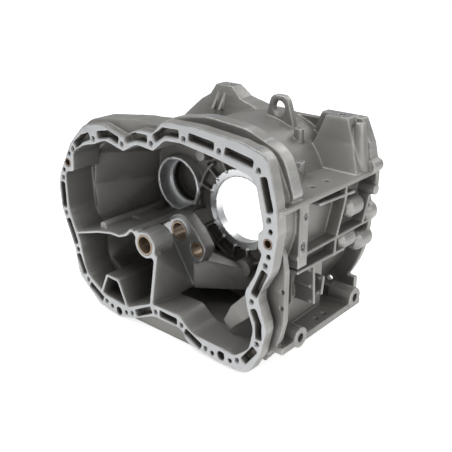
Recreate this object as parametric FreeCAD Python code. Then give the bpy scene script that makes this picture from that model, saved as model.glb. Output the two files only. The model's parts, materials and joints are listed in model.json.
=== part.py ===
import FreeCAD, Part
import math
import os

# Gearbox housing: one light-alloy casting that holds the gears at its open front
# and widens into a round bell at its back. The origin is the centre of the main
# bearing bore in the front face of its ring. +Y runs along the main shaft from the
# gear side to the bell, +X is to the right seen from the gear side, +Z is up.
# All sizes are millimetres.

V = FreeCAD.Vector

# ---- sizes along the shaft -------------------------------------------------
flange_face = -195.0        # gear-side mounting face
flange_thickness = 24.0
case_straight = 70.0        # length over which the gear case keeps its full width
bearing_wall_front = 8.0
bearing_wall_thickness = 14.0
bell_face = 126.0           # engine-side mounting face
bell_flange_thickness = 13.0

# ---- main shaft and bell ---------------------------------------------------
main_seat_radius = 70.0
main_ring_radius = 86.0
main_ring_depth = 22.0
bell_inner_radius = 180.0
bell_wall = 12.0
bell_flange_radius = 228.0
bell_flange_top = 188.0
bell_bolt_circle_radius = 209.0
bell_bolt_count = 12
bell_bolt_radius = 6.5
dome_start = -112.0         # where the barrel of the bell comes out of the gear case

# ---- countershaft ----------------------------------------------------------
counter_x = -170.0
counter_z = 21.0
counter_face = -12.0
counter_seat_radius = 54.5
counter_seat_depth = 32.0
counter_wall = 6.0
counter_lip_radius = 46.0
counter_lip_depth = 8.0
counter_cup_depth = 20.0
counter_cup_floor = 10.0

# ---- idler shaft -----------------------------------------------------------
idler_x = -82.0
idler_z = -36.0
idler_bush_bore = 17.0
idler_bush_wall = 3.5
idler_boss_radius = 27.5
idler_front_length = 52.0
idler_web_face = -100.0
idler_web_thickness = 30.0
selector_x = -33.0
selector_z = -64.0

# ---- base, deck and side ---------------------------------------------------
base_z = -228.0
deck_z = 111.0
deck_thickness = 9.0
deck_edge_x = 237.0
side_rim_x = 232.0
rib_thickness = 6.0
sole_z = -172.0
sole_thickness = 14.0

side_base_x = 180.0
lug_radius = 20.0
web_front = -163.0
web_thickness = 12.0
ridge_front = -146.0
ridge_width = 28.0
hoop_radius = 116.0
hoop_face = -6.0
shelf_top = -35.0
side_wall_x = 206.0
sole_end = 100.0
catcher_y = -150.0
selector_radius = 14.0
gallery_boss_radius = 5.5

# ---- towers and lifting eye --------------------------------------------------
left_tower_top = 227.0
right_tower_top = 206.0
eye_x = 47.0
eye_z = 209.0
eye_radius = 25.0
eye_front = 53.0
eye_thickness = 14.0
deck_boss_radius = 9.5

# ---- fasteners and small holes ----------------------------------------------
flange_bolt_radius = 5.1
flange_bolt_depth = 18.5
dowel_radius = 9.0
dowel_wall = 2.0
dowel_depth = 22.0
plain_hole_radius = 4.6
pocket_depth = 19.0
pocket_width = 14.0
tower_hole_radius = 7.0
tower_hole_depth = 45.0
deck_hole_radius = 5.0
lug_hole_radius = 8.5
eye_hole_radius = 14.5

# ---- outlines (x, z, corner radius), clockwise from the left, gear side ------
flange_outline = [
    (-340, 45, 90), (-292, 128, 40), (-243, 176, 45), (-190, 187, 60), (-129, 172, 12),
    (-88, 193, 40), (-47, 194, 10), (-22, 220, 26), (60, 222, 120), (158, 214, 60),
    (212, 200, 26), (231, 130, 60), (237, 75, 70), (226, 0, 60), (196, -52, 28),
    (218, -110, 45), (206, -165, 45), (178, -219, 34), (105, -221, 26), (28, -212, 18),
    (12, -187, 20), (-65, -187, 40), (-122, -213, 34), (-170, -226, 30), (-232, -216, 36),
    (-296, -166, 34), (-304, -108, 60), (-338, -20, 80)]

cavity_outline = [
    (-314, 64, 10), (-287, 70, 8), (-283, 114, 20), (-246, 133, 34), (-212, 142, 16),
    (-182, 155, 40), (-130, 143, 7), (-92, 163, 36), (-49, 159, 7), (-18, 184, 28), (22, 186, 40),
    (104, 175, 80), (187, 158, 26), (206, 75, 24), (195, 65, 8), (195, 40, 8),
    (204, 32, 16), (190, -12, 50), (168, -52, 26), (174, -84, 30), (188, -120, 30),
    (178, -165, 36), (145, -190, 22), (112, -187, 8), (40, -185, 36), (6, -158, 26),
    (-72, -160, 40), (-142, -193, 24), (-216, -187, 36), (-270, -152, 36), (-285, -85, 50),
    (-313, -18, 60)]

case_front_outline = [
    (-331, 45, 70), (-306, 132, 50), (-238, 186, 60), (-110, 203, 80), (60, 204, 80),
    (188, 196, 40), (222, 125, 50), (224, 55, 60), (206, -5, 40), (184, -52, 30),
    (203, -112, 45), (190, -190, 50), (140, base_z, 30), (-190, base_z, 40), (-258, -195, 45),
    (-293, -155, 34), (-301, -106, 50), (-330, -22, 60)]

# The neck joins the case to the bell with flat sides: its corners (x, z) at each end.
neck_front = [
    (-330, 20), (-318, 105), (-262, 168), (-150, 198), (40, 203), (150, 190), (202, 150),
    (222, 60), (190, -30), (192, -150), (165, base_z), (-215, base_z), (-290, -160), (-320, -60)]
neck_back = [
    (-262, 20), (-252, 90), (-212, 140), (-120, 162), (30, 168), (100, 150), (140, 112),
    (183, 40), (186, -30), (186, -150), (150, base_z), (-150, base_z), (-238, -160), (-258, -60)]
cavity_neck_front = [
    (-309, 20), (-298, 92), (-248, 134), (-150, 150), (30, 180), (140, 164), (186, 130),
    (202, 60), (174, -30), (176, -150), (150, -188), (-200, -188), (-268, -142), (-298, -60)]
cavity_neck_back = [
    (-246, 20), (-238, 80), (-200, 124), (-112, 146), (30, 152), (92, 136), (128, 102),
    (168, 40), (170, -30), (172, -140), (140, -200), (-140, -200), (-222, -150), (-242, -60)]

flange_bolts = [
    (-283, 119), (-216, 153), (-133, 157), (-53, 173), (29, 196), (110, 190), (194, 174),
    (217, 94), (212, 11), (184, -66), (197, -146), (152, -198), (74, -205), (12, -178),
    (-59, -175), (-130, -203), (-209, -202), (-266, -170), (-293, -106), (-323, -29),
    (-323, 50)]

# Each set is a dowel hole with a plain hole on either side of it.
dowel_sets = [
    ((-304, 86), (-297, 107), (-318, 68)),
    ((216, 52), (221, 75), (218, 29))]
bolt_sets = [
    ((-170, -212), (-192, -208), (-148, -208)),
    ((113, -204), (91, -208), (135, -206))]

pocket_lines = [
    [(-272, 131), (-252, 146), (-232, 154)], [(-199, 163), (-170, 169), (-147, 163)],
    [(-119, 169), (-94, 178), (-68, 179)], [(-41, 186), (-20, 200), (13, 202)],
    [(45, 201), (94, 196)], [(127, 192), (178, 183)], [(205, 160), (218, 112)],
    [(209, -5), (190, -48)], [(189, -84), (199, -106), (200, -131)],
    [(190, -162), (169, -190)], [(58, -204), (25, -189)], [(-5, -175), (-43, -174)],
    [(-76, -177), (-114, -197)], [(-225, -200), (-256, -181)], [(-278, -155), (-292, -122)],
    [(-299, -90), (-317, -46)], [(-327, -12), (-327, 34)]]


tower_holes = [(-121, 100, left_tower_top), (162, 98, right_tower_top)]
deck_bosses_at = [(106, 40, 182), (158, -28, 143)]
deck_holes = [(203, -52, deck_z), (203, -8, deck_z), *deck_bosses_at,
              (212, -5, sole_z + sole_thickness), (212, -32, sole_z + sole_thickness)]
web_holes = [(226, -46), (225, -78)]

# ---- right side, as (y, z) -----------------------------------------------------
lugs_at = [(-109, -158), (76, -150)]
side_pad_y = (-128, -101)
side_pad_holes = [(7.0, -108, 79), (9.0, -113, 24)]
side_rib_lines = [
    [(-128, 7), (-9, 7), (118, 7)],
    [(-126, -22), (20, -25)],
    [(18, deck_z - 4), (17, 73), (-8, 6), (-10, -25)],
    [(112, 80), (84, 8)],
    [(-66, 88), (46, 82)],
    [(-76, -26), (-70, -102)],
    [(-42, -62), (-46, -92)]]
side_barrels = [
    (45, 46, 20, 214, 80), (108, 22, 21, 218, bell_face), (24, -14, 19, 214, 60),
    (88, -34, 21, 212, bell_face)]
gallery_bosses = [(-76, -34), (-73, -68), (-70, -100), (-42, -64), (-46, -92)]
window_y = (-120, -84)
window_z = (-112, -38)


# ---- helpers -----------------------------------------------------------------
def corner_arc(before, corner, after, radius):
    """Start, middle and end of the arc that rounds one corner of an outline."""
    to_before = (before - corner).normalize()
    to_after = (after - corner).normalize()
    half = to_before.getAngle(to_after) / 2
    reach = radius / math.tan(half)
    bisector = (to_before + to_after).normalize()
    middle = corner + bisector * (radius / math.sin(half) - radius)
    return corner + to_before * reach, middle, corner + to_after * reach


def outline_wire(corners, y):
    """Closed wire at depth y through rounded corners given as (x, z, radius)."""
    points = [V(x, y, z) for x, z, _ in corners]
    count = len(points)
    arcs = []
    for i, (_, _, radius) in enumerate(corners):
        before, corner, after = points[i - 1], points[i], points[(i + 1) % count]
        half = (before - corner).getAngle(after - corner) / 2
        shorter = min((before - corner).Length, (after - corner).Length)
        arcs.append(corner_arc(before, corner, after, min(radius, 0.48 * shorter * math.tan(half))))
    edges = []
    for i, (start, middle, end) in enumerate(arcs):
        edges.append(Part.makeLine(arcs[i - 1][2], start))
        edges.append(Part.Arc(start, middle, end).toShape())
    return Part.Wire(edges)


def prism(corners, y_start, y_end):
    """Solid between two depths with a rounded outline."""
    face = Part.Face(outline_wire(corners, y_start))
    return face.extrude(V(0, y_end - y_start, 0))


def flat_sided(sections):
    """Solid with flat faces through a row of sections with matching corners."""
    def panel(*corners):
        return Part.Face(Part.makePolygon(list(corners) + [corners[0]]))

    faces = [panel(*sections[0]), panel(*sections[-1])]
    for low, high in zip(sections, sections[1:]):
        for i, corner in enumerate(low):
            before, above_before, above = low[i - 1], high[i - 1], high[i]
            faces.append(panel(before, corner, above))
            faces.append(panel(before, above, above_before))
    solid = Part.Solid(Part.Shell(faces)).removeSplitter()
    return solid if solid.Volume > 0 else solid.reversed()


def blend(corners_a, y_a, corners_b, y_b):
    """Flat-sided transition between two outlines of (x, z) corners."""
    return flat_sided([[V(x, y, z) for x, z in corners]
                       for corners, y in ((corners_a, y_a), (corners_b, y_b))])


def tower(sections):
    """Flared post through level sections given as (z, x_low, x_high, y_low, y_high)."""
    return flat_sided([[V(x_low, y_low, z), V(x_high, y_low, z), V(x_high, y_high, z),
                        V(x_low, y_high, z)] for z, x_low, x_high, y_low, y_high in sections])


def rod(radius, y_start, y_end, x=0.0, z=0.0):
    """Cylinder along the shaft direction."""
    return Part.makeCylinder(radius, y_end - y_start, V(x, y_start, z), V(0, 1, 0))


def post(radius, x, y, z_start, z_end):
    """Upright cylinder."""
    return Part.makeCylinder(radius, z_end - z_start, V(x, y, z_start), V(0, 0, 1))


def side_rod(radius, x_start, x_end, y, z):
    """Cylinder across the housing."""
    return Part.makeCylinder(radius, x_end - x_start, V(x_start, y, z), V(1, 0, 0))


def plate(points, thickness, direction):
    """Flat plate with corners in space, thickened along a direction."""
    loop = [V(*p) for p in points]
    face = Part.Face(Part.makePolygon(loop + [loop[0]]))
    return face.extrude(V(*direction).normalize() * thickness)


def block(x_range, y_range, z_range):
    """Box from its low and high corners."""
    low = V(x_range[0], y_range[0], z_range[0])
    return Part.makeBox(x_range[1] - low.x, y_range[1] - low.y, z_range[1] - low.z, low)


def strip(start, end, width, y_start, y_end):
    """Upright wall between two (x, z) points, seen from the front as a thin strip."""
    a, b = V(start[0], y_start, start[1]), V(end[0], y_start, end[1])
    side = (b - a).cross(V(0, 1, 0)).normalize() * (width / 2)
    loop = [a + side, b + side, b - side, a - side, a + side]
    return Part.Face(Part.makePolygon(loop)).extrude(V(0, y_end - y_start, 0))


def slot(line, width, y_start, y_end):
    """Slot along a line of (x, z) points, a little longer than the line at each end."""
    pieces = []
    for (x_a, z_a), (x_b, z_b) in zip(line, line[1:]):
        reach = 0.35 * width / math.hypot(x_b - x_a, z_b - z_a)
        x_more, z_more = reach * (x_b - x_a), reach * (z_b - z_a)
        pieces.append(strip((x_a - x_more, z_a - z_more), (x_b + x_more, z_b + z_more),
                            width, y_start, y_end))
    return fuse(pieces)


def fuse(shapes):
    """One shape from many, with seams between coplanar faces removed."""
    first, rest = shapes[0], shapes[1:]
    return first.fuse(rest).removeSplitter() if rest else first


# ---- outer body ----------------------------------------------------------------
case_straight_end = flange_face + case_straight
bearing_wall_back = bearing_wall_front + bearing_wall_thickness
bell_outer_radius = bell_inner_radius + bell_wall
flange_back = flange_face + flange_thickness
sole_top = sole_z + sole_thickness


def outer_body():
    flange = prism(flange_outline, flange_face, flange_back)
    case = prism(case_front_outline, flange_back - 6, case_straight_end)
    neck = blend(neck_front, case_straight_end, neck_back, bearing_wall_back)
    barrel = rod(bell_outer_radius, dome_start, bell_face)
    return fuse([flange, case, neck, barrel])


def shoulder():
    """Raised round shoulder behind the upper left of the flange."""
    line = [
        (-332, 50, 60), (-308, 126, 50), (-246, 173, 60), (-180, 188, 90), (-80, 196, 90),
        (-14, 213, 30), (-14, 150, 10), (-300, 40, 20)]
    return prism(line, flange_back - 4, case_straight_end - 4)


def ridge():
    """Arched rib that runs over the case and down to the ledge."""
    line = [
        (-60, 190, 5), (-52, 207, 20), (-38, 215, 40), (40, 228, 120), (130, 221, 80),
        (206, 192, 55), (235, deck_z, 60), (200, deck_z, 4), (178, 165, 40), (110, 188, 60)]
    return prism(line, ridge_front, ridge_front + ridge_width)


def bell_flange():
    y_front = bell_face - bell_flange_thickness
    disc = rod(bell_flange_radius, y_front, bell_face)
    reach = 2 * bell_flange_radius
    depth = (y_front - 1, bell_face + 1)
    disc = disc.cut(block((-reach, reach), depth, (bell_flange_top, reach)))
    disc = disc.cut(block((-reach, reach), depth, (-reach, base_z)))
    top_corner = block((140, deck_edge_x), (y_front, bell_face), (60, deck_z))
    foot = block((150, 206), (y_front, bell_face), (sole_z, sole_top + 30))
    return fuse([disc, top_corner, foot])


def deck():
    """Flat ledge along the upper right, and the sole plate along the lower right."""
    ledge = block((110, deck_edge_x), (flange_face + 6, bell_face), (deck_z - deck_thickness, deck_z))
    sole = block((130, side_rim_x - 2), (web_front, sole_end), (sole_z, sole_top))
    return fuse([ledge, sole])


def side_web():
    """Upright web that stands out to the right behind the flange."""
    line = [
        (190, 40, 5), (208, 58, 12), (226, 22, 30), (232, -10, 30), (232, -105, 40),
        (222, -150, 40), (196, -186, 30), (176, -186, 5)]
    return prism(line, web_front, web_front + web_thickness)


def side_rib(points):
    """Rib on the right side, out to the rim, through (y, z) points."""
    pieces = []
    for (y_a, z_a), (y_b, z_b) in zip(points, points[1:]):
        a, b = V(side_base_x, y_a, z_a), V(side_base_x, y_b, z_b)
        side = (b - a).cross(V(1, 0, 0)).normalize() * (rib_thickness / 2)
        along = (b - a).normalize() * (rib_thickness / 2)
        loop = [a - along + side, b + along + side, b + along - side, a - along - side]
        face = Part.Face(Part.makePolygon(loop + [loop[0]]))
        pieces.append(face.extrude(V(side_rim_x - side_base_x, 0, 0)))
    return fuse(pieces)


def side_barrel(y, z, radius, x, y_end):
    """Half-round boss along the side with a bevelled front end."""
    nose = Part.makeCone(radius * 0.55, radius, radius * 0.55, V(x, y - radius * 0.55, z), V(0, 1, 0))
    return fuse([nose, rod(radius, y, y_end, x, z)])


def side_lattice():
    """Ribs, bosses and lugs on the right side."""
    ribs = [side_rib(points) for points in side_rib_lines]
    pad = block((side_base_x, side_rim_x), side_pad_y, (-14, deck_z - 1))
    wall = block((side_base_x - 20, side_wall_x), (-150, bell_face - 4), (-28, deck_z - 4))
    barrels = [side_barrel(*row) for row in side_barrels]
    lugs = [side_rod(lug_radius, side_base_x, side_rim_x, y, z) for y, z in lugs_at]
    corner_boss = rod(13, bell_face - 34, bell_face, deck_edge_x - 6, deck_z + 6)
    plug_boss = side_rod(10, side_base_x, side_rim_x + 12, 106, 72)
    gallery = [side_rod(gallery_boss_radius, side_base_x - 20, side_rim_x - 8, y, z)
               for y, z in gallery_bosses]
    return fuse(ribs + [wall, pad, corner_boss, plug_boss] + barrels + lugs + gallery)


def mount_towers():
    """Two flared towers with threaded pads, and their front gussets."""
    left = tower([
        (150, -222, 16, 64, bell_face - 2), (192, -178, -20, 76, bell_face - 2),
        (205, -156, -72, 80, 121), (left_tower_top, -143, -99, 85, 116)])
    right = tower([
        (deck_z - 4, 104, deck_edge_x - 4, 48, bell_face - 2), (162, 126, 208, 68, bell_face - 2),
        (right_tower_top, 138, 186, 80, 116)])
    crest = tower([
        (deck_z - 4, 84, deck_edge_x, 100, bell_face), (160, 96, 224, 102, bell_face),
        (right_tower_top - 2, 113, 203, 104, bell_face)])
    bulge = Part.makeCone(24, 9, 92, V(212, 84, deck_z - 3), V(-0.04, 0.06, 1))
    gussets = []
    for x in (-138, -120):
        loop = [(x, 90, left_tower_top - 1), (x, 60, 178), (x, 90, 178)]
        gussets.append(plate(loop, 7, (1, 0, 0)))
    return fuse([left, right, crest, bulge] + gussets)


def lifting_eye():
    """Upright plate with a round hole, between the towers."""
    line = [
        (eye_x - 38, 165, 4), (eye_x - 25, eye_z + 4, 16), (eye_x - 18, eye_z + eye_radius, 20),
        (eye_x + 18, eye_z + eye_radius, 20), (eye_x + 26, eye_z + 2, 16), (eye_x + 39, 165, 4)]
    eye = prism(line, eye_front, eye_front + eye_thickness)
    return eye.cut(rod(eye_hole_radius, eye_front - 1, eye_front + eye_thickness + 1, eye_x, eye_z))


def deck_bosses():
    """Small threaded bosses on the dome."""
    posts = [post(deck_boss_radius, x, y, z - 45, z) for x, y, z in deck_bosses_at]
    return fuse(posts)


# ---- inner features ---------------------------------------------------------------
def cavity():
    """Open space for the gears, from the flange to the bearing wall."""
    front = prism(cavity_outline, flange_face - 1, case_straight_end)
    back = blend(cavity_neck_front, case_straight_end, cavity_neck_back, bearing_wall_front)
    dome = rod(bell_inner_radius, dome_start + bell_wall, bearing_wall_front)
    return fuse([front, back, dome])


def bearing_seats():
    """Rings around the two bearing bores, with the ribs that tie them together."""
    main_ring = rod(main_ring_radius, 0, main_ring_depth)
    cup_end = counter_face + counter_seat_depth + counter_lip_depth + counter_cup_depth
    counter_ring = rod(counter_seat_radius + counter_wall, counter_face,
                       cup_end + counter_cup_floor, counter_x, counter_z)
    pieces = [main_ring, counter_ring]
    for start, end in ((102, 163), (212, 304)):
        ring = Part.makeCylinder(hoop_radius, bearing_wall_front + 8, V(0, hoop_face, 0), V(0, 1, 0),
                                 end - start)
        bore = rod(hoop_radius - rib_thickness, hoop_face - 1, bearing_wall_front + 20)
        ring.rotate(V(0, 0, 0), V(0, 1, 0), -start)
        pieces.append(ring.cut(bore))
    for angle in (118, 140, 163, 212, 235, 258, 280, 304):
        across, up = math.cos(math.radians(angle)), math.sin(math.radians(angle))
        inner, outer = main_ring_radius - 4, hoop_radius + 8
        pieces.append(strip((inner * across, inner * up), (outer * across, outer * up),
                            rib_thickness, hoop_face + 2, bearing_wall_front + 2))
    pieces.append(rod(13, -22, bearing_wall_front + 2, -95, 102))
    pieces.append(rod(20, -24, bearing_wall_front + 2, 22, -117))
    return fuse(pieces)


def idler_supports():
    """Front boss and rear web that hold the idler shaft, and the shelf they stand on."""
    boss = rod(idler_boss_radius, flange_face, flange_face + idler_front_length, idler_x, idler_z)
    web_line = [
        (-150, shelf_top, 3), (-122, shelf_top + 6, 20), (-96, -3, 24), (-70, 5, 24),
        (-34, -26, 40), (-9, -58, 14), (-22, -88, 12), (-52, -100, 8), (-108, -62, 8),
        (-150, -44, 3)]
    web = prism(web_line, idler_web_face, idler_web_face + idler_web_thickness)
    clear = counter_seat_radius + rib_thickness
    dip = [(counter_x + clear * math.cos(a), counter_z + clear * math.sin(a))
           for a in (math.radians(d) for d in (258, 282, 303, 323))]
    shelf_line = [(-300, -70), (-222, -46), *dip, (idler_x - 24, idler_z + 18)]
    shelf = [strip(a, b, rib_thickness, flange_face, bearing_wall_front + 2)
             for a, b in zip(shelf_line, shelf_line[1:])]
    bead = rod(9, flange_face + 14, bearing_wall_front + 2, -222, -38)
    pad = block((-236, -126), (idler_web_face - 5, -48), (-42, shelf_top))
    side = blend([(-56, -50), (-49, -50), (-69, -172), (-76, -172)], flange_face,
                 [(-116, -50), (-108, -50), (-45, -150), (-52, -150)], idler_web_face + 4)
    bulkhead = blend([(-112, -56), (-40, -84), (-40, -152), (-112, -152)], idler_web_face,
                     [(-112, -104), (60, -128), (70, -165), (-112, -165)], bearing_wall_front + 2)
    ears = [rod(8, flange_face, flange_face + 16, idler_x + x, idler_z + z)
            for x, z in ((-22, 17), (22, -17))]
    return fuse([boss, web, bead, pad, side, bulkhead] + ears + shelf)


def oil_ribs():
    """Four-sided duct in the lower left corner and the oil catcher at the right."""
    duct_line = [(-224, -186), (-203, -140), (-169, -141), (-144, -198)]
    duct = [strip(a, b, rib_thickness, flange_face, flange_face + 120)
            for a, b in zip(duct_line, duct_line[1:])]
    catcher = prism([(192, -26, 4), (188, -90, 4), (96, -176, 6), (80, -160, 6), (98, -124, 20)],
                    catcher_y, catcher_y + rib_thickness)
    return fuse(duct + [catcher])


# ---- holes --------------------------------------------------------------------------
def flange_holes():
    """Threaded holes, dowel bores, plain holes and lightening pockets of the flange."""
    cuts = [rod(flange_bolt_radius, flange_face - 1, flange_face + flange_bolt_depth, x, z)
            for x, z in flange_bolts]
    for big, *plain in dowel_sets + bolt_sets:
        cuts.append(rod(dowel_radius, flange_face - 1, flange_face + dowel_depth, *big))
        cuts += [rod(plain_hole_radius, flange_face - 1, flange_back + 1, x, z) for x, z in plain]
    cuts += [slot(line, pocket_width, flange_face - 1, flange_face + pocket_depth)
             for line in pocket_lines]
    return cuts


def bores():
    """Bearing bores, shaft bores and the holes for mounting."""
    lip_start = counter_face + counter_seat_depth
    cup_start = lip_start + counter_lip_depth
    cuts = [
        rod(main_seat_radius, -1, main_ring_depth + 1),
        rod(counter_seat_radius, counter_face - 1, lip_start, counter_x, counter_z),
        rod(counter_lip_radius, lip_start, cup_start, counter_x, counter_z),
        rod(counter_seat_radius - 3, cup_start, cup_start + counter_cup_depth, counter_x, counter_z),
        rod(idler_bush_bore + idler_bush_wall, flange_face - 1,
            idler_web_face + idler_web_thickness + 1, idler_x, idler_z),
        rod(selector_radius + idler_bush_wall, idler_web_face - 1,
            idler_web_face + idler_web_thickness + 1, selector_x, selector_z)]
    cuts += [post(tower_hole_radius, x, y, z - tower_hole_depth, z + 1)
             for x, y, z in tower_holes]
    cuts += [side_rod(lug_hole_radius, side_base_x + 4, side_rim_x + 1, y, z) for y, z in lugs_at]
    cuts += [post(deck_hole_radius, x, y, z - sole_thickness - 1, z + 1) for x, y, z in deck_holes]
    cuts += [side_rod(r, side_rim_x - 24, side_rim_x + 1, y, z) for r, y, z in side_pad_holes]
    cuts += [rod(3.4, web_front - 1, web_front + 14, x, z) for x, z in web_holes]
    for i in range(bell_bolt_count):
        angle = 2 * math.pi * (i + 0.5) / bell_bolt_count
        x, z = bell_bolt_circle_radius * math.cos(angle), bell_bolt_circle_radius * math.sin(angle)
        if base_z + 12 < z < bell_flange_top - 12:
            cuts.append(rod(bell_bolt_radius, bell_face - bell_flange_thickness - 1, bell_face + 1, x, z))
    return cuts


def window():
    """Side window into the gear space."""
    return block((side_base_x - 40, side_base_x + 14), window_y, window_z)


# ---- assemble --------------------------------------------------------------------
def housing():
    body = fuse([outer_body(), shoulder(), ridge(), bell_flange(), deck(), side_web(),
                 side_lattice(), mount_towers(), lifting_eye(), deck_bosses()])
    body = body.cut(cavity())
    body = body.cut(rod(bell_inner_radius, bearing_wall_back, bell_face + 1))
    body = fuse([body, bearing_seats(), idler_supports(), oil_ribs()])
    return body.cut(flange_holes() + bores() + [window()])


def sleeve(inner, outer, y_start, length, x, z):
    """Plain bush or dowel sleeve along the shaft direction."""
    return rod(outer, y_start, y_start + length, x, z).cut(
        rod(inner, y_start - 1, y_start + length + 1, x, z))


def inserts():
    """Pressed-in bushes and dowel sleeves, by node name."""
    outer = idler_bush_bore + idler_bush_wall
    parts = {
        "idler_bush_front": sleeve(idler_bush_bore, outer, flange_face, idler_front_length,
                                   idler_x, idler_z),
        "idler_bush_rear": sleeve(idler_bush_bore, outer, idler_web_face, idler_web_thickness,
                                  idler_x, idler_z),
        "selector_bush": sleeve(selector_radius, selector_radius + idler_bush_wall,
                                idler_web_face, idler_web_thickness, selector_x, selector_z)}
    for side, (hole, *_) in zip(("left", "right"), dowel_sets):
        parts["dowel_sleeve_" + side] = sleeve(dowel_radius - dowel_wall, dowel_radius, flange_face,
                                               dowel_depth, *hole)
    return parts


os.makedirs("parts", exist_ok=True)
pieces = {"housing_casting": housing(), **inserts()}
for name, shape in pieces.items():
    shape.exportStep("parts/" + name + ".step")
    print(name, "solids", len(shape.Solids), "valid", shape.isValid(), "cm3", round(shape.Volume / 1000, 1))
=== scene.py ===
import bpy
import bmesh
import json
import math
import numpy as np
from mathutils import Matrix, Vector
from mathutils.bvhtree import BVHTree


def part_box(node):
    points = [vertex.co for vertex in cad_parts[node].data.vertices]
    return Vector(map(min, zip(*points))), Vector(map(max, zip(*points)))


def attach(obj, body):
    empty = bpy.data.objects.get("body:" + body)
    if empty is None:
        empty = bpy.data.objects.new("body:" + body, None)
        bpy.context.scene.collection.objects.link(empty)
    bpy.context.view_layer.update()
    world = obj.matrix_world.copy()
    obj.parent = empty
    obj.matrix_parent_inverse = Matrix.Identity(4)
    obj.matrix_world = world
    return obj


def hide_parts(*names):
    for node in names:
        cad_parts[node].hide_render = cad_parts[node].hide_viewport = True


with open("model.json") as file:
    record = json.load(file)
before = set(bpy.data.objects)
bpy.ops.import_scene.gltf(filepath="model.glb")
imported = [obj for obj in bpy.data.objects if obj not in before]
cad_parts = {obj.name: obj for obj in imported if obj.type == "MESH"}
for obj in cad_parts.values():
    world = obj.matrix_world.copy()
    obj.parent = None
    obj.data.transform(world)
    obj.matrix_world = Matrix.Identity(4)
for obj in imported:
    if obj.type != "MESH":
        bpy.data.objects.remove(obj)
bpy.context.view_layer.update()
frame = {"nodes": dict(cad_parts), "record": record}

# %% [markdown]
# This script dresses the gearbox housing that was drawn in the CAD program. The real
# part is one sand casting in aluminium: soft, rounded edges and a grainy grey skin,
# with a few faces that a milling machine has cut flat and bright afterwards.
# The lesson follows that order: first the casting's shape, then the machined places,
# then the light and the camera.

nodes = frame["nodes"]
mounts = frame["record"]["mounts"]
mount_called = {mount["name"]: mount for mount in mounts}
MM = 0.001


def dress(piece, material):
    """Gives a piece one material in place of what it had."""
    piece.data.materials.clear()
    piece.data.materials.append(material)


print("pieces from the CAD model:", sorted(nodes))

# %% [markdown]
# The camera comes first, so that every later step can be looked at from the same place.
# It stands in front of the gear side, to the right and a little above. The lens is long,
# as for a product picture, so that the round bores are not stretched.

# %% Camera
view_azimuth = math.radians(40.8)
view_elevation = math.radians(22.4)
back = Vector((math.sin(view_azimuth) * math.cos(view_elevation),
               -math.cos(view_azimuth) * math.cos(view_elevation),
               math.sin(view_elevation)))
right = Vector((math.cos(view_azimuth), math.sin(view_azimuth), 0.0))
up = back.cross(right)
lens_data = bpy.data.cameras.new("camera")
lens_data.sensor_width = 36.0
lens_data.lens = 57.35
camera = bpy.data.objects.new("camera", lens_data)
bpy.context.scene.collection.objects.link(camera)
camera.location = back * 1.466 - right * 0.03197 - up * 0.03197
camera.rotation_euler = back.to_track_quat("Z", "Y").to_euler()
bpy.context.scene.camera = camera
print("camera stands at", [round(value, 3) for value in camera.location])

# %% [markdown]
# Every finish below is a small tree of shader nodes. A helper that makes a node and
# another that joins two sockets keep those trees short enough to read.

# %% Helpers for materials


class Finish:
    """A material and the few moves that build its node tree."""

    def __init__(self, name):
        self.material = bpy.data.materials.new(name)
        self.material.use_nodes = True
        self.tree = self.material.node_tree
        self.tree.nodes.clear()
        self.output = self.tree.nodes.new("ShaderNodeOutputMaterial")
        self.shader = self.tree.nodes.new("ShaderNodeBsdfPrincipled")
        self.join(self.shader.outputs["BSDF"], self.output.inputs["Surface"])
        self.place = self.tree.nodes.new("ShaderNodeTexCoord").outputs["Object"]

    def join(self, a, b):
        self.tree.links.new(a, b)

    def math(self, operation, a, b=None, c=None, clamp=False):
        """The result of one sum on numbers or sockets."""
        node = self.tree.nodes.new("ShaderNodeMath")
        node.operation = operation
        node.use_clamp = clamp
        for socket, value in zip(node.inputs, (a, b, c)):
            if value is None:
                continue
            if isinstance(value, (int, float)):
                socket.default_value = value
            else:
                self.join(value, socket)
        return node.outputs[0]

    def axes(self, vector):
        node = self.tree.nodes.new("ShaderNodeSeparateXYZ")
        self.join(vector, node.inputs[0])
        return node.outputs

    def noise(self, scale, detail=2.0, stretch=(1, 1, 1)):
        """Cloudy values from 0 to 1 at the given scale per metre."""
        spread = self.tree.nodes.new("ShaderNodeMapping")
        spread.inputs["Scale"].default_value = stretch
        self.join(self.place, spread.inputs["Vector"])
        node = self.tree.nodes.new("ShaderNodeTexNoise")
        node.inputs["Scale"].default_value = scale
        node.inputs["Detail"].default_value = detail
        self.join(spread.outputs[0], node.inputs["Vector"])
        return node.outputs["Fac"]

    def between(self, factor, low, high):
        """A colour between two colours."""
        node = self.tree.nodes.new("ShaderNodeMix")
        node.data_type = "RGBA"
        for socket, value in ((node.inputs[0], factor), (node.inputs[6], low), (node.inputs[7], high)):
            if isinstance(value, (tuple, float)):
                socket.default_value = value if isinstance(value, float) else (*value, 1.0)
            else:
                self.join(value, socket)
        return node.outputs[2]

    def bump(self, height, strength, distance, base=None):
        node = self.tree.nodes.new("ShaderNodeBump")
        node.inputs["Strength"].default_value = strength
        node.inputs["Distance"].default_value = distance
        self.join(height, node.inputs["Height"])
        if base:
            self.join(base, node.inputs["Normal"])
        return node.outputs["Normal"]
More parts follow.
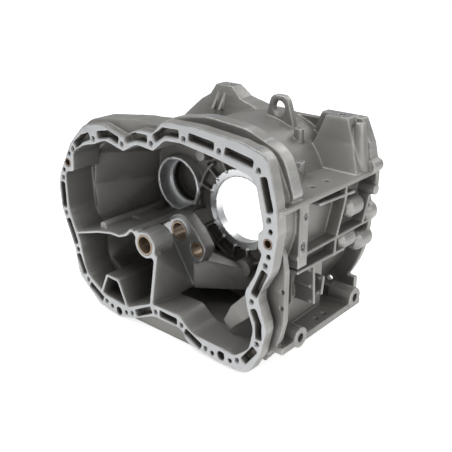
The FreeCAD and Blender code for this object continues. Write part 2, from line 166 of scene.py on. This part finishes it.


# %% [markdown]
# The skin of the casting is grey and grainy. A fine noise gives the grain of the sand, a
# wide one gives the faint clouds that hot metal leaves, and crevices and deep hollows are
# painted darker as shade.
#
# The machined places are the same piece of metal, so they are part of the same material.
# Each is found by where it is: the gear-side face, the bearing rings and the pads on the
# towers are all flat or round, so a few sums on the position tell cut metal from raw. The
# places come from the CAD model's mounts, and only the widths of the rings are given here.

# %% Aluminium casting, raw and machined
counter_ring_wall = 0.006
main_ring_outer = 0.086
main_seat = mount_called["main_bearing_bore"]
counter_seat = mount_called["counter_bearing_bore"]
main_x, main_face, main_z = main_seat["pos_m"]
counter_x, counter_face, counter_z = counter_seat["pos_m"]
main_seat_radius = main_seat["dims"]["r_mm"] * MM
counter_seat_radius = counter_seat["dims"]["r_mm"] * MM
counter_ring_outer = counter_seat_radius + counter_ring_wall
gear_face_y = mount_called["idler_bore_front"]["pos_m"][1]
web_face_y = mount_called["idler_bore_rear"]["pos_m"][1]
left_tower_top = mount_called["tower_left_screw"]["pos_m"][2]
right_tower_top = mount_called["tower_right_screw"]["pos_m"][2]
cut_edge = 0.0005


def band(finish, value, low, high, soft):
    """1 where value lies between two limits, falling to 0 over a short distance."""
    rise = finish.math("MULTIPLY_ADD", value, 1.0 / soft, 0.5 - low / soft, clamp=True)
    fall = finish.math("MULTIPLY_ADD", value, -1.0 / soft, 0.5 + high / soft, clamp=True)
    return finish.math("MULTIPLY", rise, fall)


def radius_from(finish, a, b, centre_a, centre_b):
    """Distance in the plane of two coordinates from a centre."""
    across = finish.math("SUBTRACT", a, centre_a)
    along = finish.math("SUBTRACT", b, centre_b)
    return finish.math("SQRT", finish.math("ADD", finish.math("MULTIPLY", across, across),
                                           finish.math("MULTIPLY", along, along)))


def any_of(finish, masks):
    total = masks[0]
    for mask in masks[1:]:
        total = finish.math("MAXIMUM", total, mask)
    return total


cast = Finish("cast_aluminium")
x, y, z = cast.axes(cast.place)
geometry = cast.tree.nodes.new("ShaderNodeNewGeometry")
_, normal_y, normal_z = cast.axes(geometry.outputs["True Normal"])
main_radius = radius_from(cast, x, z, main_x, main_z)
counter_radius = radius_from(cast, x, z, counter_x, counter_z)
gear_face = band(cast, y, gear_face_y - 0.1, gear_face_y + 0.0004, cut_edge)
facing_front = band(cast, normal_y, -2.0, -0.9, 0.1)
main_ring = cast.math("MULTIPLY", band(cast, main_radius, 0.0, main_ring_outer + 0.0002, 0.0006),
                      band(cast, y, main_face - 0.004, main_face + 0.0215, cut_edge))
counter_ring = cast.math(
    "MULTIPLY", band(cast, counter_radius, 0.0, counter_ring_outer + 0.0007, 0.0006),
    band(cast, y, counter_face - 0.004, counter_face + 0.0395, cut_edge))
idler_plate = cast.math("MULTIPLY", band(cast, y, web_face_y - 0.004, web_face_y + 0.0005, cut_edge),
                        facing_front)
left_pad = band(cast, z, left_tower_top - 0.0008, left_tower_top + 0.003, 0.0004)
right_pad = cast.math("MULTIPLY", band(cast, x, 0.1, 0.3, 0.001),
                      band(cast, z, right_tower_top - 0.0004, right_tower_top + 0.002, 0.0004))
tower_tops = cast.math("MULTIPLY", band(cast, normal_z, 0.9, 2.0, 0.1),
                       cast.math("MAXIMUM", left_pad, right_pad))
rings = cast.math("MAXIMUM", main_ring, counter_ring)
cut = any_of(cast, [gear_face, rings, idler_plate, tower_tops])

clouds = cast.noise(9.0, 3.0)
grain = cast.noise(900.0, 2.0)
pits = cast.noise(260.0, 3.0)
shelter = cast.tree.nodes.new("ShaderNodeAttribute")
shelter.attribute_name = "shelter"
wear = cast.tree.nodes.new("ShaderNodeAttribute")
wear.attribute_name = "wear"
raw_colour = cast.between(clouds, (0.16, 0.156, 0.148), (0.29, 0.285, 0.27))
raw_colour = cast.between(cast.math("MULTIPLY", grain, 0.35), raw_colour, (0.40, 0.395, 0.38))
# Painted shade: corners that the casting itself shelters, deep in the gear space, are darkened and
# browned.
painted_recess_shade = cast.math("MULTIPLY", shelter.outputs["Fac"], cast.math("MULTIPLY_ADD", clouds, 0.5, 0.45))
raw_colour = cast.between(painted_recess_shade, raw_colour, (0.085, 0.075, 0.062))
rubbed = cast.math("POWER", cast.math("MULTIPLY_ADD", wear.outputs["Fac"], 2.0, -1.0, clamp=True), 1.6)
raw_colour = cast.between(cast.math("MULTIPLY", rubbed, 0.75), raw_colour, (0.52, 0.515, 0.50))
# Painted shade: corners that lie deeper than their neighbours are darkened, as shade in creases.
painted_crease_shade = cast.math("MULTIPLY_ADD", wear.outputs["Fac"], -2.0, 1.0, clamp=True)
raw_colour = cast.between(cast.math("MULTIPLY", painted_crease_shade, 0.7), raw_colour, (0.07, 0.065, 0.055))
milled_colour = cast.between(cast.noise(40.0, 2.0), (0.360, 0.367, 0.374), (0.432, 0.439, 0.446))
bright_colour = cast.between(cast.noise(300.0, 2.0, (1, 8, 1)), (0.78, 0.80, 0.82), (0.88, 0.89, 0.90))
cut_colour = cast.between(rings, milled_colour, bright_colour)
cast.join(cast.between(cut, raw_colour, cut_colour), cast.shader.inputs["Base Color"])
cast.join(cast.math("MULTIPLY_ADD", cut, 0.25, 0.62), cast.shader.inputs["Metallic"])
cast.join(cast.math("MULTIPLY_ADD", cut, -0.16, 0.50), cast.shader.inputs["Roughness"])
grain_height = cast.math("ADD", cast.math("MULTIPLY", grain, 0.4), pits)
raw_height = cast.math("MULTIPLY", grain_height, cast.math("SUBTRACT", 1.0, cut))
cast.join(cast.bump(raw_height, 0.35, 0.0006), cast.shader.inputs["Normal"])
print("casting finish:", len(cast.tree.nodes), "shader nodes")

# %% [markdown]
# The bushes are bronze and the dowel sleeves are steel, coloured brown as a painted warm reflection.
# Both were turned on a lathe, so their grain runs round the bore. The threads are freshly
# cut aluminium and share the same kind of finish.

# %% Bronze, steel and cut thread
def turned(name, low, high, roughness):
    """Finish whose fine grain lies in rings along the bore."""
    finish = Finish(name)
    rings_of_colour = finish.noise(220.0, 2.0, (1, 14, 1))
    finish.join(finish.between(rings_of_colour, low, high), finish.shader.inputs["Base Color"])
    finish.shader.inputs["Metallic"].default_value = 0.75
    finish.shader.inputs["Roughness"].default_value = roughness
    finish.join(finish.bump(rings_of_colour, 0.15, 0.0003), finish.shader.inputs["Normal"])
    return finish.material


bronze = turned("bush_bronze", (0.20, 0.145, 0.10), (0.42, 0.34, 0.26), 0.36)
cut_thread = turned("cut_thread", (0.30, 0.30, 0.295), (0.55, 0.55, 0.54), 0.35)
# Painted reflection: the sleeves' brown is a warm reflection painted into the steel's colour.
steel_painted_warm_reflection = turned("dowel_steel", (0.16, 0.11, 0.08), (0.34, 0.26, 0.20), 0.34)
print("turned finishes:", bronze.name, cut_thread.name, steel_painted_warm_reflection.name)

# %% [markdown]
# A casting has no sharp edge anywhere, because sand can't hold one. A CAD solid has
# nothing but sharp edges. Rounding hundreds of edges one by one would be slow and would
# fail where they meet, so the solid is rebuilt from small cubes with the Remesh
# modifier, smoothed a little, and thinned again where it is flat. Thinning leaves long
# thin triangles, which would show as streaks, so their edges are halved afterwards.

# %% Rounded casting from the CAD solid
cube_size = 0.0017
smooth_rounds = 3
triangles_kept = 110000
longest_edge = 0.024
halvings = 3


def plain_copy(node, name):
    """A copy of a CAD piece with its loose triangles joined."""
    mesh = node.data.copy()
    mesh.name = name
    work = bmesh.new()
    work.from_mesh(mesh)
    bmesh.ops.remove_doubles(work, verts=work.verts, dist=1e-6)
    work.to_mesh(mesh)
    work.free()
    piece = bpy.data.objects.new(name, mesh)
    bpy.context.scene.collection.objects.link(piece)
    return piece


def bake_modifiers(piece):
    """Turns what the modifiers show into the piece's own mesh."""
    shown = bpy.context.evaluated_depsgraph_get()
    mesh = bpy.data.meshes.new_from_object(piece.evaluated_get(shown))
    piece.modifiers.clear()
    piece.data = mesh


casting = plain_copy(nodes["housing_casting"], "casting")
remesh = casting.modifiers.new("cubes", "REMESH")
remesh.mode = "VOXEL"
remesh.voxel_size = cube_size
bake_modifiers(casting)
print("after the cubes:", len(casting.data.polygons), "faces")
smooth = casting.modifiers.new("rub", "SMOOTH")
smooth.factor = 0.5
smooth.iterations = smooth_rounds
bake_modifiers(casting)
thin = casting.modifiers.new("thin", "DECIMATE")
thin.ratio = min(1.0, triangles_kept / (2.0 * len(casting.data.polygons)))
bake_modifiers(casting)
even = bmesh.new()
even.from_mesh(casting.data)
for halving in range(halvings):
    long_edges = [edge for edge in even.edges if edge.calc_length() > longest_edge]
    bmesh.ops.subdivide_edges(even, edges=long_edges, cuts=1)
    bmesh.ops.triangulate(even, faces=[face for face in even.faces if len(face.verts) > 3])
even.to_mesh(casting.data)
even.free()
casting.data.validate()
print("casting thinned and evened:", len(casting.data.polygons), "triangles")

# %% [markdown]
# The milling machine and the borer come after the foundry, so the cut faces and bores are
# true again. Each corner of the mesh that lies close to a cut face or a bore is pushed
# onto it. The bores are read from the CAD model's own list of mounts, and the sleeves'
# seats from the sleeves themselves, so neither has to be measured twice.

# %% Cut faces and bores pressed true
low_corner, high_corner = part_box("housing_casting")
front_plane = low_corner[1]
close_to_bore = 0.0011
close_to_seat = 0.0014
close_to_ring = 0.0012
close_to_front = 0.0009
unstated_depth = 15.0
ring_stand_out = 0.006


def corner_values(mesh, what):
    """One row of three numbers for each corner of a mesh."""
    values = np.empty(len(mesh.vertices) * 3)
    mesh.vertices.foreach_get(what, values)
    return values.reshape(-1, 3)


def press_bore(corners, centre, axis, radius, length, near):
    """Corners close to a bore's wall are moved onto it."""
    axis, away = np.array(axis, dtype=float), corners - np.array(centre)
    along = away @ axis
    across = away - along[:, None] * axis
    distance = np.linalg.norm(across, axis=1)
    chosen = (np.abs(along) < length) & (np.abs(distance - radius) < near)
    corners[chosen] += across[chosen] * (radius / distance[chosen] - 1.0)[:, None]
    return int(chosen.sum())


def press_ring_face(corners, centre_x, centre_z, inner, outer, face, near):
    """Corners close to a ring's flat face are moved into its plane."""
    distance = np.hypot(corners[:, 0] - centre_x, corners[:, 2] - centre_z)
    chosen = (distance > inner) & (distance < outer) & (np.abs(corners[:, 1] - face) < near)
    corners[chosen, 1] = face


corners = corner_values(casting.data, "co")
corners[corners[:, 1] < front_plane + close_to_front, 1] = front_plane
pressed = 0
for mount in mounts:
    if "r_mm" in mount["dims"]:
        pressed += press_bore(corners, mount["pos_m"], mount["axis"], mount["dims"]["r_mm"] * MM,
                              mount["dims"].get("length_mm", unstated_depth) * MM, close_to_bore)
for name in sorted(nodes):
    if name == "housing_casting":
        continue
    sleeve_low, sleeve_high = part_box(name)
    centre = [(low + high) / 2 for low, high in zip(sleeve_low, sleeve_high)]
    pressed += press_bore(corners, centre, (0, 1, 0), (sleeve_high[0] - sleeve_low[0]) / 2,
                          (sleeve_high[1] - sleeve_low[1]) / 2, close_to_seat)
pressed += press_bore(corners, main_seat["pos_m"], (0, 1, 0), main_ring_outer, ring_stand_out,
                      close_to_ring)
press_ring_face(corners, main_x, main_z, main_seat_radius, main_ring_outer + 0.0002,
                main_face, close_to_ring)
press_ring_face(corners, counter_x, counter_z, counter_seat_radius, counter_ring_outer + 0.0002,
                counter_face, close_to_ring)
corners = np.clip(corners, np.array(low_corner), np.array(high_corner))
casting.data.vertices.foreach_set("co", corners.ravel())
casting.data.update()
print("corners pressed onto bores:", pressed)

# %% [markdown]
# Two numbers are kept on every corner of the casting for its finish. Wear and crease shade
# compares the corner with the middle of its neighbours: an outer edge stands proud and gets
# rubbed bright, an inner corner lies deep and is painted dark as shade. Shelter counts how
# many of a few fixed directions are blocked by the casting itself, so it is high deep inside
# the gear space, where the colour is painted darker and browner as shade, and low on the outside.

# %% Wear, painted crease shade and shelter on the surface
look_directions = 14
shelter_reach = 0.16
shelter_start = 0.25
shelter_full = 0.90
shelter_rounds = 4
ray_offset = 0.001
ray_spread = 0.95
full_wear_and_shade_height = 0.0030
golden_turn = math.pi * (3.0 - math.sqrt(5.0))


def neighbour_mean(values, edges, count):
    """Each corner's values averaged over the corners that share an edge with it."""
    total = np.zeros_like(values)
    for near, far in ((0, 1), (1, 0)):
        for column in range(values.shape[1]):
            total[:, column] += np.bincount(edges[:, near], values[edges[:, far], column], len(values))
    return total / count[:, None]


def look_direction(step):
    """One of the fixed directions, spread evenly over a ball by the golden angle."""
    height = 1.0 - 2.0 * (step + 0.5) / look_directions
    spread = math.sqrt(1.0 - height * height)
    turn = golden_turn * step
    return Vector((spread * math.cos(turn), spread * math.sin(turn), height))


mesh = casting.data
corners = corner_values(mesh, "co")
facing = corner_values(mesh, "normal")
edges = np.empty(len(mesh.edges) * 2, dtype=np.int64)
mesh.edges.foreach_get("vertices", edges)
edges = edges.reshape(-1, 2)
count = np.maximum(np.bincount(edges.ravel(), minlength=len(corners)), 1)
middle = neighbour_mean(neighbour_mean(corners, edges, count), edges, count)
proud = ((corners - middle) * facing).sum(axis=1)
wear_and_crease_shade_values = np.clip(0.5 + proud / full_wear_and_shade_height, 0.0, 1.0)[:, None]
wear_and_crease_shade_values = neighbour_mean(wear_and_crease_shade_values, edges, count)

surface = BVHTree.FromPolygons(corners.tolist(), [list(face.vertices) for face in mesh.polygons])
ways = [look_direction(step) * ray_spread for step in range(look_directions)]
blocked = np.zeros((len(corners), 1))
for index, (corner, normal) in enumerate(zip(corners.tolist(), facing.tolist())):
    normal = Vector(normal)
    start = Vector(corner) + normal * ray_offset
    for way in ways:
        if surface.ray_cast(start, way + normal, shelter_reach)[0] is not None:
            blocked[index, 0] += 1.0
shelter_values = blocked / look_directions
for smoothing in range(shelter_rounds):
    shelter_values = neighbour_mean(shelter_values, edges, count)
shelter_values = np.clip((shelter_values - shelter_start) / (shelter_full - shelter_start), 0.0, 1.0)
for name, values in (("wear", wear_and_crease_shade_values), ("shelter", shelter_values)):
    layer = mesh.attributes.new(name, "FLOAT", "POINT")
    layer.data.foreach_set("value", values[:, 0].astype(np.float32))
    print(name, "mean", round(float(values.mean()), 3))

# %% [markdown]
# The rounded casting is a look, not a new part. It stands in for the CAD casting and rides on
# the same body.

# %% The finished casting takes the place of the CAD piece
dress(casting, cast.material)
casting.data.shade_smooth()
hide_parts("housing_casting")
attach(casting, "root")
print("casting:", len(casting.data.polygons), "faces")

# %% [markdown]
# The screw holes are tapped. A thread is one small ridge that winds down the wall of its
# hole, so a single coil is enough: Geometry Nodes sets a copy of it at the mouth of each
# hole, turned to the hole's own direction. Pitch, turns and radius are inputs of the tree.

# %% Threads in the screw holes
thread_pitch = 0.00175
thread_turns = 6
thread_height = 0.0009
thread_start = 1.5 * thread_height


def thread_tree():
    """Node tree that sets a coil at each point, along the point's own direction."""
    tree = bpy.data.node_groups.new("threads", "GeometryNodeTree")
    sockets = {}
    tree.interface.new_socket("Holes", in_out="INPUT", socket_type="NodeSocketGeometry")
    for label in ("Pitch", "Turns", "Radius", "Ridge"):
        sockets[label] = tree.interface.new_socket(label, in_out="INPUT", socket_type="NodeSocketFloat")
    metal = tree.interface.new_socket("Metal", in_out="INPUT", socket_type="NodeSocketMaterial")
    sockets["Metal"] = metal
    tree.interface.new_socket("Threads", in_out="OUTPUT", socket_type="NodeSocketGeometry")

    def add(kind, **links):
        node = tree.nodes.new(kind)
        for label, source in links.items():
            socket = node.inputs[label.replace("_", " ")]
            if hasattr(source, "is_output"):
                tree.links.new(source, socket)
            else:
                socket.default_value = source
        return node

    given = tree.nodes.new("NodeGroupInput").outputs
    height = tree.nodes.new("ShaderNodeMath")
    height.operation = "MULTIPLY"
    tree.links.new(given["Pitch"], height.inputs[0])
    tree.links.new(given["Turns"], height.inputs[1])
    coil = add("GeometryNodeCurveSpiral", Resolution=20, Rotations=given["Turns"],
               Start_Radius=given["Radius"], End_Radius=given["Radius"], Height=height.outputs[0])
    profile = add("GeometryNodeCurvePrimitiveCircle", Resolution=4, Radius=given["Ridge"])
    ridge = add("GeometryNodeCurveToMesh", Curve=coil.outputs[0], Profile_Curve=profile.outputs[0],
                Fill_Caps=True)

    def kept(name, data_type):
        """The value stored on each point under this name."""
        node = add("GeometryNodeInputNamedAttribute", Name=name)
        node.data_type = data_type
        return next(socket for socket in node.outputs if socket.enabled and socket.name == "Attribute")

    copies = add("GeometryNodeInstanceOnPoints", Points=given["Holes"], Instance=ridge.outputs[0])
    tree.links.new(kept("turn", "FLOAT_VECTOR"), copies.inputs["Rotation"])
    tree.links.new(kept("size", "FLOAT"), copies.inputs["Scale"])
    real = add("GeometryNodeRealizeInstances", Geometry=copies.outputs[0])
    dressed = add("GeometryNodeSetMaterial", Geometry=real.outputs[0], Material=given["Metal"])
    tree.links.new(dressed.outputs[0], tree.nodes.new("NodeGroupOutput").inputs[0])
    return tree, {label: socket.identifier for label, socket in sockets.items()}


tapped = [mount for mount in mounts if "screw" in mount["name"] and "r_mm" in mount["dims"]]
usual_radius = min(mount["dims"]["r_mm"] for mount in tapped) * MM
hole_mesh = bpy.data.meshes.new("threads")
hole_mesh.from_pydata([mount["pos_m"] for mount in tapped], [], [])
turns, sizes = [], []
for index, mount in enumerate(tapped):
    inward = -Vector(mount["axis"])
    turns.extend(inward.to_track_quat("Z", "Y").to_euler())
    sizes.append(mount["dims"]["r_mm"] * MM / usual_radius)
    hole_mesh.vertices[index].co = Vector(mount["pos_m"]) + inward * thread_start
hole_mesh.attributes.new("turn", "FLOAT_VECTOR", "POINT").data.foreach_set("vector", turns)
hole_mesh.attributes.new("size", "FLOAT", "POINT").data.foreach_set("value", sizes)
threads = bpy.data.objects.new("threads", hole_mesh)
bpy.context.scene.collection.objects.link(threads)
winding = threads.modifiers.new("threads", "NODES")
winding.node_group, keys = thread_tree()
for label, value in (("Pitch", thread_pitch), ("Turns", float(thread_turns)),
                     ("Radius", usual_radius), ("Ridge", thread_height), ("Metal", cut_thread)):
    winding[keys[label]] = value
bake_modifiers(threads)
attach(threads, "root")
print("threads:", len(tapped), "holes,", len(threads.data.polygons), "faces")

# %% [markdown]
# Bushes and sleeves are turned parts with crisp ends, which is what the CAD model already
# gives. They keep its shape and only get their metal.

# %% Bushes and sleeves keep their CAD shape
for name in ("idler_bush_front", "idler_bush_rear", "selector_bush"):
    dress(nodes[name], bronze)
for name in ("dowel_sleeve_left", "dowel_sleeve_right"):
    dress(nodes[name], steel_painted_warm_reflection)
print("bushes and sleeves dressed:", len(nodes) - 1)

# %% [markdown]
# The studio is a wide pale floor under a white sky, a large soft lamp overhead, a weaker one
# from the right and one behind that draws the outline. The camera sees floor and sky as
# white, because both are made to glow for the camera's own rays. The metal is lit by the
# plain strength, and the floor still takes the casting's shadow.

# %% Studio
reach = 12.0
floor_gap = 0.0002
floor_glow = 0.66
sky_strength = 0.5
floor_z = low_corner[2] - floor_gap
floor_mesh = bpy.data.meshes.new("floor")
floor_mesh.from_pydata([(-reach, -reach, floor_z), (reach, -reach, floor_z),
                        (reach, reach, floor_z), (-reach, reach, floor_z)], [], [(0, 1, 2, 3)])
floor = bpy.data.objects.new("floor", floor_mesh)
bpy.context.scene.collection.objects.link(floor)
floor_finish = Finish("floor")
floor_finish.shader.inputs["Base Color"].default_value = (0.9, 0.9, 0.9, 1.0)
floor_finish.shader.inputs["Roughness"].default_value = 0.9
seen = floor_finish.tree.nodes.new("ShaderNodeLightPath").outputs
seen = floor_finish.math("ADD", seen["Is Camera Ray"], seen["Is Glossy Ray"], clamp=True)
glow = floor_finish.tree.nodes.new("ShaderNodeEmission")
floor_finish.join(floor_finish.math("MULTIPLY", seen, floor_glow), glow.inputs["Strength"])
both = floor_finish.tree.nodes.new("ShaderNodeAddShader")
floor_finish.join(floor_finish.shader.outputs[0], both.inputs[0])
floor_finish.join(glow.outputs[0], both.inputs[1])
floor_finish.join(both.outputs[0], floor_finish.output.inputs["Surface"])
floor_mesh.materials.append(floor_finish.material)


def soft_lamp(name, place, aim, size, power, colour=(1.0, 1.0, 1.0)):
    lamp = bpy.data.lights.new(name, "AREA")
    lamp.size = size
    lamp.energy = power
    lamp.color = colour
    stand = bpy.data.objects.new(name, lamp)
    stand.location = place
    stand.rotation_euler = (Vector(place) - Vector(aim)).to_track_quat("Z", "Y").to_euler()
    bpy.context.scene.collection.objects.link(stand)
    return stand


soft_lamp("key", (-0.5, -0.7, 2.2), (0, 0, 0), 1.6, 36.0)
soft_lamp("side", (2.1, -0.6, 1.1), (0, 0, 0), 1.4, 22.0)
soft_lamp("rim", (0.4, 1.8, 1.5), (0, 0, 0.1), 1.4, 14.0)

world = bpy.data.worlds.new("studio")
bpy.context.scene.world = world
world.use_nodes = True
sky = world.node_tree
sky.nodes.clear()
sky_out = sky.nodes.new("ShaderNodeOutputWorld")
sky_light = sky.nodes.new("ShaderNodeBackground")
sky_seen = sky.nodes.new("ShaderNodeBackground")
sky_pick = sky.nodes.new("ShaderNodeMixShader")
ray = sky.nodes.new("ShaderNodeLightPath")
sky_light.inputs["Strength"].default_value = sky_strength
sky_seen.inputs["Color"].default_value = (1.0, 1.0, 1.0, 1.0)
sky_seen.inputs["Strength"].default_value = 1.0
sky_rays = sky.nodes.new("ShaderNodeMath")
sky_rays.operation = "MAXIMUM"
sky.links.new(ray.outputs["Is Camera Ray"], sky_rays.inputs[0])
sky.links.new(ray.outputs["Is Transmission Ray"], sky_rays.inputs[1])
sky.links.new(sky_rays.outputs[0], sky_pick.inputs[0])
sky.links.new(sky_light.outputs[0], sky_pick.inputs[1])
sky.links.new(sky_seen.outputs[0], sky_pick.inputs[2])
sky.links.new(sky_pick.outputs[0], sky_out.inputs["Surface"])
bpy.context.scene.view_settings.view_transform = "Standard"
print("studio: floor of", 2 * reach, "m and", len(bpy.data.lights), "lamps")
